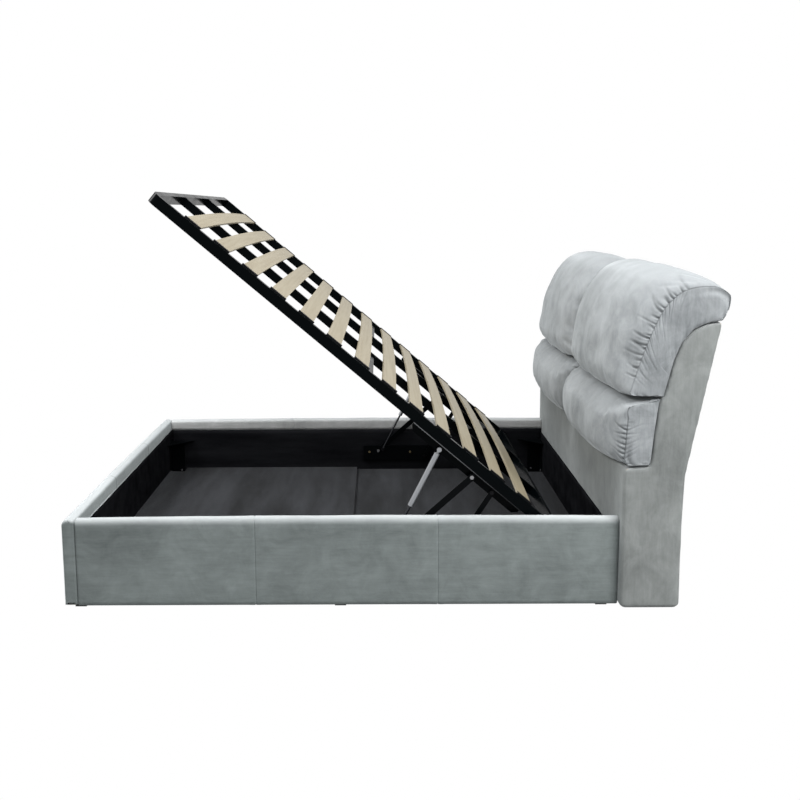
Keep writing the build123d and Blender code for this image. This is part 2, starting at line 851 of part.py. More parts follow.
with BuildPart() as board_shell:
    add(across(outer_face, board_half, 2 * board_half))
    add(across(skin_face, inner_board_half, 2 * inner_board_half), mode=Mode.SUBTRACT)
    with Locations((head_x + board_cover, 0, 0)):
        Box(
            body_outline_share[-1][0] * board_reach - 2 * board_cover,
            2 * inner_board_half,
            2 * (board_cover + running_gap),
            align=(Align.MIN, Align.CENTER, Align.CENTER),
            mode=Mode.SUBTRACT,
        )
keep(board_shell, "headboard_cover")

with BuildPart() as board_frame:
    add(across(skin_face, inner_board_half, 2 * inner_board_half))
    add(across(hollow_face, inner_board_half, 2 * inner_board_half), mode=Mode.SUBTRACT)
    for share in rib_place_share:
        add(across(skin_face, share * (inner_board_half - rib_thickness) + rib_thickness / 2, rib_thickness))
keep(board_frame, "headboard_frame")

with BuildPart() as head_lining:
    with Locations((head_x, 0, rail_bottom)):
        Box(
            lining_thickness, 2 * (inner_half - seat_gap), head_lining_top - rail_bottom,
            align=(Align.MAX, Align.CENTER, Align.MIN),
        )
keep(head_lining, "head_lining")

# Headboard cushions: lofts from a flat end seam to a full crown
cushion_face = board_face(-cushion_gap)


def bowed(start, rise, end, steps):
    """The points of a bow that rises to the left of its chord, without its end."""
    run = (end[0] - start[0], end[1] - start[1])
    lift = 4 * rise / math.hypot(*run)
    for t in (step / steps for step in range(steps)):
        bow = lift * t * (1 - t)
        yield (start[0] + run[0] * t - run[1] * bow, start[1] + run[1] * t + run[0] * bow)


def cushion_section(seam_share, full_share, fullness, y):
    """A cushion's outline across the bed, between its seam and its fullest section."""
    shares = [
        [s + (f - s) * fullness for s, f in zip(seam, full)]
        for seam, full in zip(seam_share, full_share)
    ]
    corners = [board_point(share) for share in shares]
    outline = []
    for i, (start, end) in enumerate(zip(corners, corners[1:] + corners[:1])):
        most = max(abs(seam_share[i][2]), abs(full_share[i][2]))
        steps = 1 + round(most / bow_step_share)
        outline += bowed(start, shares[i][2] * board_reach, end, steps)
    with BuildSketch(Plane.XZ.offset(-y)) as section:
        with BuildLine():
            Polyline(*outline, close=True)
        make_face()
    return section.sketch


def build_cushion(label, seam_share, full_share, start, end):
    with BuildPart() as cushion:
        sections = [
            cushion_section(seam_share, full_share, fullness, start + share * (end - start))
            for share, fullness in zip(crown_place_share, crown_fullness_share)
        ]
        loft(sections, ruled=True)
        add(across(cushion_face, board_half + cut_run, 2 * (board_half + cut_run)), mode=Mode.SUBTRACT)
    keep(cushion, label)


for side, word in sides:
    start = side * cushion_middle_gap / 2
    build_cushion(word + "_upper_cushion", upper_seam_share, upper_full_share, start, side * board_half)
    build_cushion(word + "_lower_cushion", lower_seam_share, lower_full_share, start, side * board_half)

# Places and turns of the joints, for the record
print("front arm base", arm_base, "turn", round(arm_turn, 4))
print("platform pivot", arm_top, "turn", round(-platform_turn, 4))
print("rear arm base", rear_base, "turn", round(rear_turn, 4))
print("cylinder pivot", strut_top, "turn", round(cylinder_turn, 4))
print("rod direction", strut_dir, "stroke", round(strut_stroke, 4))
print("platform origin", platform_origin, "closed", closed_point(0, 0))
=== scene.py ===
from collections import namedtuple
import math

import bpy
import bmesh
import numpy as np
from mathutils import Matrix, Vector, noise


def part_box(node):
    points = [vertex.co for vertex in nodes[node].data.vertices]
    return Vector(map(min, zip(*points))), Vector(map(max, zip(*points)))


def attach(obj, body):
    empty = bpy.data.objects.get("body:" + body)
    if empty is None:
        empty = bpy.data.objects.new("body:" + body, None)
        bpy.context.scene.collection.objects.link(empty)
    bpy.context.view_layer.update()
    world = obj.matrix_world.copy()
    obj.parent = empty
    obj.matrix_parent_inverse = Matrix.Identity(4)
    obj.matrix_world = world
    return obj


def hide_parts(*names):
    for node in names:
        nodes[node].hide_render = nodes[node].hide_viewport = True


# Dresses the storage bed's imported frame. Metres, in the frame's own axes: X runs from the
# foot board to the headboard, Y from the near side to the far side, and Z up.

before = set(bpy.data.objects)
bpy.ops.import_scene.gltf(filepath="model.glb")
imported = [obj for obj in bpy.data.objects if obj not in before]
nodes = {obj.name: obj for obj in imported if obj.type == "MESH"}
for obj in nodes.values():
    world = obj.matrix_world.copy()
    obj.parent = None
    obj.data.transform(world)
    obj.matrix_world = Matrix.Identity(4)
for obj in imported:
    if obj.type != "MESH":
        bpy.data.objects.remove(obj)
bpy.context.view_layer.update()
sides = ((-1, "near"), (1, "far"))


def box(name):
    low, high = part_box(name)
    return np.array(low), np.array(high)


def both(*words):
    """The near and the far node of each word."""
    return [f"{side}_{word}" for word in words for _, side in sides]


# Camera

camera_place = Vector((-0.0492, -4.6730, 1.4612))
camera_yaw, camera_pitch, camera_roll = -0.0067, 0.1573, 0.0065
camera_lens = 46.956
camera_sensor = 36
camera_shift = (0.0359, -0.0301)
camera_clip = 200


def place_camera():
    """The photograph's view: above the near rail, looking across the bed."""
    data = bpy.data.cameras.new("camera")
    data.sensor_width = camera_sensor
    data.lens = camera_lens
    data.shift_x, data.shift_y = camera_shift
    data.clip_end = camera_clip
    cam = bpy.data.objects.new("camera", data)
    bpy.context.scene.collection.objects.link(cam)
    tip = Matrix.Rotation(-camera_roll, 3, "Y") @ Matrix.Rotation(camera_pitch, 3, "X")
    right, forward, up = tip @ Matrix.Rotation(camera_yaw, 3, "Z")
    world = Matrix((right, up, -forward)).transposed().to_4x4()
    world.translation = camera_place
    cam.matrix_world = world
    bpy.context.scene.camera = cam


# Materials

def times(colour, factor):
    return [factor * c for c in colour]


class Shader:
    """A short way to lay out a material's nodes."""

    def __init__(self, name):
        self.mat = bpy.data.materials.new(name)
        self.mat.use_nodes = True
        self.tree = self.mat.node_tree
        self.bsdf = self.tree.nodes["Principled BSDF"]
        self.coord = self.tree.nodes.new("ShaderNodeTexCoord").outputs["Object"]

    def put(self, socket, value):
        if isinstance(value, bpy.types.NodeSocket):
            self.tree.links.new(value, socket)
        elif hasattr(socket.default_value, "__len__") and len(socket.default_value) == 4:
            socket.default_value = (*value, 1)
        else:
            socket.default_value = value

    def node(self, kind, out=0, settings=None, **inputs):
        """Adds a node and gives one of its outputs. Inputs go by name, or by number as i0, i1."""
        n = self.tree.nodes.new(kind)
        for key, value in (settings or {}).items():
            setattr(n, key, value)
        for key, value in inputs.items():
            numbered = key[0] == "i" and key[1:].isdigit()
            self.put(n.inputs[int(key[1:]) if numbered else key.replace("_", " ")], value)
        return n.outputs[out]

    def base(self, **values):
        for key, value in values.items():
            self.put(self.bsdf.inputs[key.replace("_", " ")], value)

    def place(self, scale=(1, 1, 1), shift=(0, 0, 0), turn=(0, 0, 0)):
        return self.node("ShaderNodeMapping", Vector=self.coord, Scale=scale, Location=shift,
                         Rotation=turn)

    def noise(self, scale, detail=4, rough=0.6, where=None, distortion=0.0):
        return self.node("ShaderNodeTexNoise", Vector=where or self.place(), Scale=scale,
                         Detail=detail, Roughness=rough, Distortion=distortion)

    def bands(self, scale, across, where, distortion, detail, out=1):
        """Parallel waves: output 0 is their colour, 1 their value."""
        return self.node("ShaderNodeTexWave", out, {"bands_direction": across}, Vector=where,
                         Scale=scale, Distortion=distortion, Detail=detail)

    def math(self, op, a, b=0.0, clamp=False):
        return self.node("ShaderNodeMath", 0, {"operation": op, "use_clamp": clamp}, i0=a, i1=b)

    def weighed(self, *parts):
        """The sum of values, each times its weight."""
        terms = [self.math("MULTIPLY", value, weight) for value, weight in parts]
        total = terms[0]
        for term in terms[1:]:
            total = self.math("ADD", total, term)
        return total

    def ranged(self, value, start, end, low, high):
        """A value's run from start to end, as a run from low to high."""
        return self.node("ShaderNodeMapRange", Value=value, From_Min=start, From_Max=end,
                         To_Min=low, To_Max=high)

    def part(self, vector, axis):
        return self.node("ShaderNodeSeparateXYZ", "XYZ".index(axis), Vector=vector)

    def ramp(self, value, *stops):
        n = self.tree.nodes.new("ShaderNodeValToRGB")
        self.tree.links.new(value, n.inputs[0])
        while len(n.color_ramp.elements) < len(stops):
            n.color_ramp.elements.new(0.5)
        for element, (at, colour) in zip(n.color_ramp.elements, stops):
            element.position = at
            element.color = (*colour, 1)
        return n.outputs[0]

    def mix(self, share, a, b):
        """Colour a, with a share of colour b."""
        return self.node("ShaderNodeMix", 2, {"data_type": "RGBA"}, i0=share, i6=a, i7=b)

    def bump(self, height, distance, strength, under=None):
        inputs = {"Height": height, "Distance": distance, "Strength": strength}
        if under is not None:
            inputs["Normal"] = under
        return self.node("ShaderNodeBump", **inputs)

    def attribute(self, name):
        """The value of a mesh's point attribute."""
        return self.node("ShaderNodeAttribute", 2, {"attribute_name": name})


def velvet(name, deep, pale, top, streak, shift, sheen=0.45):
    """Crushed velvet: soft blotches, short streaks, a painted highlight where it faces up, and painted
    shade from the mesh's painted_shade values.
    """
    s = Shader(name)
    here = s.place(shift=shift)
    blotch = s.noise(2.3, detail=5, rough=0.55, where=here, distortion=0.4)
    cloud = s.noise(9.0, detail=5, rough=0.65, where=here, distortion=0.8)
    brushed = s.place(scale=streak, shift=shift)
    streaks = s.noise(1.0, detail=6, rough=0.7, where=brushed, distortion=0.3)
    tone = s.weighed((blotch, 0.42), (cloud, 0.34), (streaks, 0.24))
    side_on = s.ramp(tone, (0.34, deep), (0.66, pale))
    # Painted highlight: faces that look up get the paler top colour, as if lit from above.
    painted_top_light = s.ramp(tone, (0.30, times(top, 0.80)), (0.70, top))
    up = s.part(s.node("ShaderNodeNewGeometry", "Normal"), "Z")
    facing_up = s.math("POWER", s.math("MAXIMUM", up, 0.0), 1.1)
    # Painted shade: the mesh's per-point shade values darken the colour towards a deep tone.
    painted_shade_share = s.math("MULTIPLY", s.attribute("painted_shade"), 0.75, clamp=True)
    colour = s.mix(painted_shade_share, s.mix(facing_up, side_on, painted_top_light), times(deep, 0.45))
    pile = s.noise(520.0, detail=2, where=here)
    ripple = s.noise(38.0, detail=3, where=here, distortion=0.5)
    rippled = s.bump(ripple, distance=0.0016, strength=0.5)
    s.base(Base_Color=colour, Roughness=0.82, Specular_IOR_Level=0.25,
           Normal=s.bump(pile, distance=0.0006, strength=0.5, under=rippled))
    s.base(Sheen_Weight=sheen, Sheen_Roughness=0.38, Sheen_Tint=(0.86, 0.91, 0.93))
    return s.mat


def woven(name, dark, light, pitch, streak=(2.0, 14.0, 14.0), sheen=0.0, shine=0.0):
    """Plain woven lining cloth with a faint streak."""
    s = Shader(name)
    blotch = s.noise(1.0, where=s.place(scale=streak))
    fleck = s.noise(160.0, detail=3, rough=0.7)
    tone = s.weighed((blotch, 0.75), (fleck, 0.25))
    threads = s.bands(pitch, "X", s.place(), distortion=1.2, detail=2.0)
    crossing = s.bands(pitch, "Y", s.place(turn=(0.0, 0.9, 0.0)), distortion=1.2, detail=2.0)
    weave = s.math("MULTIPLY", threads, crossing)
    s.base(Base_Color=s.ramp(tone, (0.35, dark), (0.68, light)), Roughness=0.9,
           Normal=s.bump(weave, distance=0.0005, strength=0.5))
    s.base(Sheen_Weight=sheen, Sheen_Roughness=0.5, Specular_IOR_Level=shine)
    return s.mat


def gloss_paint(name, colour, rough, shine, up=None, edge=None):
    """Stoved gloss paint with a slight orange peel and duller handled patches.

    With up and edge, what stands past the edge along that direction gets a pale painted
    highlight, less towards the head.
    """
    s = Shader(name)
    patches = s.noise(7.0)
    tone = s.mix(s.math("MULTIPLY", patches, 0.5), colour, times(colour, 2.2))
    if up is not None:
        # Painted highlight: a pale line past the edge, fading towards the head.
        height = s.node("ShaderNodeVectorMath", "Value", {"operation": "DOT_PRODUCT"},
                        i0=s.coord, i1=up)
        wear_and_highlight = s.ranged(s.part(s.coord, "X"), 0.1, 0.42, 1.2, 0.15)
        painted_highlight = s.math("MULTIPLY", s.math("GREATER_THAN", height, edge), wear_and_highlight)
        painted_highlight = s.math("MULTIPLY", painted_highlight, patches, clamp=True)
        tone = s.mix(painted_highlight, tone, (0.22, 0.23, 0.235))
    peel = s.noise(260.0, detail=2, rough=0.5)
    s.base(Base_Color=tone, Roughness=s.ranged(patches, 0.3, 0.75, rough, rough + 0.16),
           Normal=s.bump(peel, distance=0.0001, strength=0.12))
    s.base(Coat_Weight=0.012, Coat_Roughness=0.12, Specular_IOR_Level=shine)
    return s.mat


def metal(name, colour, rough, wear_and_highlight=0.25, black_from=None):
    """Drawn or plated metal with lengthways marks and uneven plating, blackened past an X."""
    s = Shader(name)
    marks = s.noise(1.0, rough=0.7, where=s.place(scale=(40, 40, 400)))
    patch = s.noise(60.0)
    tone = s.mix(s.math("MULTIPLY", patch, wear_and_highlight), colour, times(colour, 0.62))
    if black_from is not None:
        beyond = s.math("GREATER_THAN", s.part(s.coord, "X"), black_from)
        tone = s.mix(beyond, tone, (0.012, 0.012, 0.013))
    s.base(Base_Color=tone, Metallic=1.0, Roughness=s.ranged(marks, 0.25, 0.8, rough, rough + 0.2),
           Normal=s.bump(marks, distance=0.0001, strength=0.3))
    return s.mat


def slat_wood():
    """Rotary-cut birch or beech: faint grain along the slat, small flecks, satin lacquer."""
    s = Shader("slat_wood")
    grain = s.noise(1.6, detail=7, rough=0.7, where=s.place(scale=(26, 1.1, 26)), distortion=0.5)
    rings = s.bands(2.2, "X", s.place(scale=(9, 0.35, 9)), distortion=7.0, detail=3.0, out=0)
    fleck = s.noise(5.0, detail=3, where=s.place(scale=(90, 12, 90)))
    tone = s.weighed((grain, 0.7), (rings, 0.07), (fleck, 0.23))
    colour = s.ramp(tone, (0.22, (0.195, 0.157, 0.094)), (0.5, (0.270, 0.232, 0.155)),
                    (0.8, (0.320, 0.282, 0.203)))
    s.base(Base_Color=colour, Roughness=0.46, Specular_IOR_Level=0.4,
           Normal=s.bump(grain, distance=0.0002, strength=0.3))
    return s.mat


def board_wood():
    """Plain particle board on hidden faces."""
    s = Shader("rail_board")
    chips = s.noise(120.0, detail=5, rough=0.7)
    colour = s.ramp(chips, (0.3, (0.30, 0.21, 0.13)), (0.7, (0.56, 0.44, 0.30)))
    s.base(Base_Color=colour, Roughness=0.8, Normal=s.bump(chips, distance=0.0006, strength=0.5))
    return s.mat


def moulded(name, colour, rough=0.55):
    """Moulded plastic with a fine grain."""
    s = Shader(name)
    grain = s.noise(900.0, detail=2, rough=0.5)
    tone = s.mix(s.math("MULTIPLY", s.noise(30.0), 0.4), colour, times(colour, 1.8))
    s.base(Base_Color=tone, Roughness=rough, Specular_IOR_Level=0.12,
           Normal=s.bump(grain, distance=0.0003, strength=0.4))
    return s.mat


# Mesh helpers

sharp_angle = math.radians(40)


def new_object(name, verts, faces, material, smooth=True):
    mesh = bpy.data.meshes.new(name)
    mesh.from_pydata([tuple(v) for v in verts], [], faces)
    mesh.update()
    obj = bpy.data.objects.new(name, mesh)
    bpy.context.scene.collection.objects.link(obj)
    mesh.materials.append(material)
    if smooth:
        mesh.polygons.foreach_set("use_smooth", [True] * len(mesh.polygons))
    return obj


def ring_faces(rings, count):
    """The faces of a closed tube of rings with count points each, and of its two ends."""
    faces = []
    for start in range(0, (rings - 1) * count, count):
        for j in range(count):
            k = (j + 1) % count
            faces.append((start + j, start + k, start + count + k, start + count + j))
    last = (rings - 1) * count
    return faces + [tuple(range(count - 1, -1, -1)), tuple(range(last, last + count))]


def face_outward(obj):
    bm = bmesh.new()
    bm.from_mesh(obj.data)
    bmesh.ops.recalc_face_normals(bm, faces=bm.faces)
    bm.to_mesh(obj.data)
    bm.free()


def read_vectors(mesh, kind):
    """One row a point: kind is co for the places and normal for the normals."""
    values = np.empty(len(mesh.vertices) * 3)
    mesh.vertices.foreach_get(kind, values)
    return values.reshape(-1, 3)


def write_points(mesh, points):
    mesh.vertices.foreach_set("co", points.ravel())
    mesh.update()


# Stores the painted shade that the velvet reads, one value a point.
def write_painted_shade(mesh, values):
    layer = mesh.attributes.new("painted_shade", "FLOAT", "POINT")
    layer.data.foreach_set("value", np.clip(values, 0, 1).astype(np.float32))


def rumple(points, size, shift):
    """Smooth noise, one value a point, for folds about as long as size."""
    return np.array([noise.noise(Vector(p) / size + shift) for p in points])


def add_modifier(obj, kind, **settings):
    mod = obj.modifiers.new(kind.lower(), kind)
    for key, value in settings.items():
        setattr(mod, key, value)
    return mod


def reshape(obj, kind, **settings):
    """Replaces an object's mesh by what one modifier makes of it."""
    add_modifier(obj, kind, **settings)
    graph = bpy.context.evaluated_depsgraph_get()
    mesh = bpy.data.meshes.new_from_object(obj.evaluated_get(graph))
    materials = list(obj.data.materials)
    obj.modifiers.clear()
    obj.data = mesh
    if not len(mesh.materials):
        for material in materials:
            mesh.materials.append(material)
    mesh.polygons.foreach_set("use_smooth", [True] * len(mesh.polygons))


# Rails' covers, linings and corner boards

# A cover's section: its cloth, how far it turns in over the lining, and its roundings.
rail_low, rail_high = box("near_rail_cover")
lining_low, lining_high = box("near_rail_lining")
cover_skin = box("near_rail_core")[0][1] - rail_low[1]
cover_turn_in = rail_high[2] - lining_high[2]
cover_lip = lining_high[1] - lining_low[1]
cover_round = 0.012
cover_soft = 0.025
soft_drop = 0.0012
cover_padding = 0.0045
crown_share = 0.55
section_step = 0.014

# Its stations along the rail, and the distances from an end or a seam where they stand close.
station_step = 0.02
least_step = 0.0006
end_clear = 0.012
end_marks = (0.0, 0.0012, 0.003, 0.006)
closed_marks = (0.0005, 0.0022, 0.0069)
seam_marks = (0, 0.0009, 0.0018, 0.003, 0.005, 0.009)

# How it draws in at its ends and seams, puffs beside a seam, rises along the rail, and how far the painted
# shade reaches in from an open end.
closed_depth = 0.00695
closed_round = 0.011
open_round = 0.006
open_inset = 0.004
end_shade_reach = 0.002
seam_depth = 0.0016
seam_width = 0.0016
seam_puff = 0.0007
puff_place = 0.012
puff_width = 0.010
cover_rise = 0.020
rise_depth = 0.04

# What stays calm: the foot of the cover and its ends.
cover_foot = 0.003
end_calm = 0.02

lining_columns = 120
lining_rows = 14
lining_ripple = 0.0008
lining_sink = 0.0006
hairline = 0.0005
corner_board_side = 0.0945
corner_board_thickness = 0.004
corner_board_edge = 0.001


def arc(centre, radius, start, end, count=7):
    angles = np.radians(np.linspace(start, end, count))
    return [(centre[0] + radius * math.cos(a), centre[1] + radius * math.sin(a)) for a in angles]


def run_points(points, step):
    """A closed outline with extra points on its long runs."""
    out = []
    for (x0, y0), (x1, y1) in zip(points, points[1:] + points[:1]):
        count = max(1, int(round(math.dist((x0, y0), (x1, y1)) / step)))
        out += [(x0 + (x1 - x0) * i / count, y0 + (y1 - y0) * i / count) for i in range(count)]
    return out


def outline_normals(points):
    p = np.array(points)
    ahead, behind = np.roll(p, -1, 0), np.roll(p, 1, 0)
    tangent = ahead - behind
    n = np.stack([tangent[:, 1], -tangent[:, 0]], 1)
    n /= np.linalg.norm(n, axis=1)[:, None] + 1e-12
    area = 0.5 * np.sum(p[:, 0] * ahead[:, 1] - ahead[:, 0] * p[:, 1])
    return n if area > 0 else -n


def cover_section(low, high, width):
    """A rail cover's section: u goes inward from the outer face, w is height."""
    inner = cover_round - cover_skin
    top = high + cover_padding
    points = [(0, low), (0, top - cover_soft)]
    points += arc((cover_soft, top - cover_soft - soft_drop), cover_soft, 180, 90)[1:]
    points += [(width * crown_share, top)]
    points += arc((width - cover_round, high - cover_round), cover_round, 90, 0)
    points += [(width, high - cover_turn_in), (width - cover_lip, high - cover_turn_in)]
    points += arc((width - cover_lip - inner, high - cover_skin - inner), inner, 0, 90, 4)
    points += arc((cover_skin + inner, high - cover_skin - inner), inner, 90, 180, 4)
    points += [(cover_skin, low)]
    return run_points(points, section_step)


def wrapped_end(section, width, low):
    """The section with its inside moved out to the outline, for a cover that closes an end."""
    out = np.array(section)
    turn = max(i for i, (u, w) in enumerate(section) if u > width - 1e-6)
    inside = len(section) - turn - 1
    height = section[turn][1]
    down = height - low
    for i in range(inside):
        gone = (i + 1) / (inside + 1) * (down + width)
        corner = (width, height - gone) if gone < down else (width - (gone - down), low)
        out[turn + 1 + i] = corner
    return out


def stations(length, seams, closed):
    """Places along a rail, close together at its ends and its seams."""
    marks = set(np.linspace(end_clear, length - end_clear, int(length / station_step)))
    for d in end_marks:
        marks |= {d, length - d}
    for seam in seams:
        for d in seam_marks:
            marks |= {seam + d, seam - d}
    kept = [0.0]
    for mark in sorted(marks):
        if mark - kept[-1] > least_step:
            kept.append(mark)
    extra = closed_marks if closed else ()
    return sorted(kept + list(extra) + [length - d for d in extra])


def end_inset(end, closed):
    """How far a cover draws in at a distance from its rail's end."""
    if closed:
        return closed_round * (1 - math.sqrt(1 - max(0.0, 1 - end / closed_round) ** 2))
    return open_inset * max(0.0, 1 - end / open_round) ** 2


def rail_cover(name, node, axis, side, seams, material, shift, closed=False):
    """A velvet cover over a rail: sewn across at its seams, and turned in along the inside."""
    low, high = box(node)
    other = 1 - axis
    length = high[axis] - low[axis]
    width = high[other] - low[other]
    open_section = cover_section(low[2], high[2], width)
    shut_section = wrapped_end(open_section, width, low[2])
    open_normals, shut_normals = outline_normals(open_section), outline_normals(shut_section)
    marks = stations(length, seams, closed)
    verts, groove = [], []
    for mark in marks:
        end = min(mark, length - mark)
        shut = closed and end < closed_depth
        section, normals = (shut_section, shut_normals) if shut else (open_section, open_normals)
        near = min(abs(mark - seam) for seam in seams)
        dip = math.exp(-(near / seam_width) ** 2)
        puff = seam_puff * math.exp(-((near - puff_place) / puff_width) ** 2)
        move = puff - end_inset(end, closed) - seam_depth * dip
        rise = cover_rise * mark / length * (1 - mark / length)
        # Painted shade: a little in a seam's groove, and more at an open end, where the cover meets the
        # next board.
        end_shade = 0 if closed else 0.5 * max(0.0, 1 - end / end_shade_reach)
        for (u, w), (nu, nw) in zip(section, normals):
            lifted = rise * min(max((w - high[2]) / rise_depth + 1, 0), 1)
            p = [0.0, 0.0, w + nw * move + lifted]
            p[axis] = low[axis] + mark
            inward = u + nu * move
            p[other] = low[other] + inward if side < 0 else high[other] - inward
            verts.append(p)
            groove.append(0.12 * dip + end_shade)
    count = len(open_section)
    obj = new_object(name, verts, ring_faces(len(marks), count), material)
    face_outward(obj)
    points = read_vectors(obj.data, "co")
    swell = rumple(points, 0.16, shift) * 0.0011 + rumple(points, 0.045, shift) * 0.0004
    from_end = np.repeat([min(mark, length - mark) for mark in marks], count)
    swell *= np.clip(from_end / end_calm, 0, 1)
    swell[points[:, 2] < low[2] + cover_foot] = 0
    write_points(obj.data, points + read_vectors(obj.data, "normal") * swell[:, None])
    write_painted_shade(obj.data, np.array(groove))
    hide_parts(node)
    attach(obj, "root")


def lining_panel(name, node, axis, material, shift):
    """A taut cloth panel on a rail's inner face, with soft ripples between its staples."""
    low, high = box(node)
    other = 1 - axis
    up = np.linspace(low[2], high[2], lining_rows)
    verts = []
    for along in np.linspace(low[axis], high[axis], lining_columns):
        for face, heights in ((low, up), (high, up[::-1])):
            for height in heights:
                p = [0.0, 0.0, height]
                p[axis] = along
                p[other] = face[other]
                verts.append(p)
    obj = new_object(name, verts, ring_faces(lining_columns, 2 * lining_rows), material)
    face_outward(obj)
    points = read_vectors(obj.data, "co")
    middle = (low[other] + high[other]) / 2
    into_box = -np.sign(middle)
    inner = (points[:, other] - middle) * into_box > 0
    ripple = rumple(points, 0.09, shift) * lining_ripple - lining_sink
    points[:, other] += np.where(inner, ripple * into_box, 0)
    write_points(obj.data, points)
    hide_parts(node)
    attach(obj, "root")


def corner_boards(material):
    """Thin boards that close the floor's cut-outs under the corner brackets."""
    low, high = box("corner_brackets")
    top = low[2] - hairline
    verts, faces = [], []
    for corner_x, into_x in ((low[0], 1), (high[0], -1)):
        for corner_y, into_y in ((low[1], 1), (high[1], -1)):
            x0, y0 = corner_x + into_x * hairline, corner_y + into_y * hairline
            x1, y1 = x0 + into_x * corner_board_side, y0 + into_y * corner_board_side
            faces += [tuple(len(verts) + i for i in face) for face in ring_faces(2, 4)]
            for z in (top - corner_board_thickness, top):
                verts += [(x0, y0, z), (x1, y0, z), (x1, y1, z), (x0, y1, z)]
    obj = new_object("corner_boards", verts, faces, material, False)
    face_outward(obj)
    add_modifier(obj, "BEVEL", width=corner_board_edge, segments=2)
    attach(obj, "root")


# Headboard

# The body's outline and the cushions' sections are in shares of the board's reach and height,
# which follow from the outline's topmost corner and the cover's box.
body_top_share = (0.868, 0.842)
body_outline = [
    (0.0, 0.0), (0.0, 0.4145), (0.021, 0.4235), (0.238, 0.4265), (0.268, 0.520), (0.303, 0.614),
    (0.345, 0.632), (0.385, 0.680), (0.425, 0.730), (0.490, 0.780), (0.590, 0.817), (0.715, 0.836),
    body_top_share, (0.796, 0.732), (0.645, 0.5025), (0.582, 0.399), (0.566, 0.267), (0.562, 0.0),
]
board_low, board_high = box("headboard_cover")
board_reach = (board_high[0] - board_low[0]) / body_top_share[0]
board_height = board_high[2] / body_top_share[1]
outline_step = 0.02
body_round = 0.013
body_voxel = 0.011
body_foot = 0.012


def board_point(share):
    return (board_low[0] + share[0] * board_reach, share[1] * board_height)


def headboard_body(material):
    """The velvet body: front, sides and back in one padded skin over the frame."""
    outline = run_points([board_point(share) for share in body_outline], outline_step)
    verts = [(x, y, z) for y in (board_low[1], board_high[1]) for x, z in outline]
    obj = new_object("headboard_skin", verts, ring_faces(2, len(outline)), material)
    face_outward(obj)
    reshape(obj, "BEVEL", width=body_round, segments=4, limit_method="ANGLE", angle_limit=sharp_angle)
    reshape(obj, "REMESH", mode="VOXEL", voxel_size=body_voxel)
    reshape(obj, "SMOOTH", factor=0.5, iterations=2)
    reshape(obj, "SUBSURF", levels=1, render_levels=1)
    points = read_vectors(obj.data, "co")
    swell = rumple(points, 0.22, Vector((3, 1, 7))) * 0.0022
    swell += rumple(points, 0.07, Vector((9, 2, 4))) * 0.0008
    swell[points[:, 2] < body_foot] = 0
    points = points + read_vectors(obj.data, "normal") * swell[:, None]
    points[:, 2] = np.maximum(points[:, 2], 0.0)
    write_points(obj.data, points)
    write_painted_shade(obj.data, np.zeros(len(points)))
    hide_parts("headboard_cover")
    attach(obj, "root")


# Cushions

# The front of a cushion's section at its end seam and where it is fullest: each corner,
# and the rise of the bow that follows it as a share of the reach. The counts are the
# points on each run, and the rest is the line where the cushion lies on the body.
upper_seam = [
    (0.338, 0.6285, 0.0), (0.023, 0.632, 0.002), (0.132, 0.742, 0.007), (0.290, 0.861, 0.019),
    (0.490, 0.925, 0.0135), (0.726, 0.938, 0.024), (0.912, 0.913, 0.024), (0.840, 0.842, 0.0),
]
upper_full = [
    (0.338, 0.6285, 0.0), (-0.045, 0.610, 0.050), (-0.130, 0.706, 0.016), (-0.040, 0.844, 0.029),
    (0.195, 0.963, 0.044), (0.580, 0.984, 0.033), (0.974, 0.917, 0.080), (0.850, 0.842, 0.0),
]
upper_counts = (12, 21, 28, 28, 24, 26, 13)
upper_rest = [
    (0.341, 0.6335), (0.380, 0.6815), (0.420, 0.7315), (0.486, 0.7815), (0.586, 0.8183), (0.711, 0.8373),
]
lower_seam = [
    (0.308, 0.619, 0.0), (0.030, 0.600, -0.012), (0.021, 0.565, -0.002), (0.000, 0.460, -0.010),
    (0.012, 0.437, -0.002), (0.030, 0.4290, 0.0), (0.060, 0.4285, 0.0), (0.236, 0.4290, 0.0),
]
lower_full = [
    (0.308, 0.619, 0.0), (-0.050, 0.607, -0.036), (-0.200, 0.562, -0.022), (-0.195, 0.455, -0.028),
    (-0.070, 0.402, 0.0), (-0.009, 0.412, 0.0), (0.016, 0.4265, 0.0), (0.236, 0.4290, 0.0),
]
lower_counts = (14, 14, 24, 18, 8, 4, 8)
lower_rest = [(0.299, 0.612), (0.264, 0.520)]
crown_place = (0.0, 0.035, 0.11, 0.27, 0.50, 0.72, 0.89, 0.965, 1.0)
crown_fullness = (-0.60, 0.44, 0.84, 0.98, 1.0, 0.91, 0.66, 0.35, 0.0)
crown_middle = 4

# The grids: the cloth's and the finished skin's first step across, its growth and its
# largest, the columns of an end panel, and every how many rows the back has one.
cloth_steps = (0.004, 1.3, 0.009)
skin_steps = (0.0008, 1.22, 0.0046)
cloth_columns = 9
skin_columns = 23
column_growth = 2.6
coarse_rows = 8
line_points = 400
bottom_share = 0.02

# The cloth simulation: its steps, its pressure, how far the pad is drawn in before it, how
# far it may swell, and how far from an end it swells freely.
swell_steps = 20
swell_pressure = 4.0
drawn_in = 0.006
swell_cap = 0.007
swell_margin = 0.035

# The sewing: half the width and the depth of a drawn-in seam, half the width of a tuck, how
# far the skin stays calm beside a seam, and half the gap between the cushions.
seam_groove = 0.0022
tuck_width = 0.0030
calm_width = 0.03
middle_gap = 0.0006

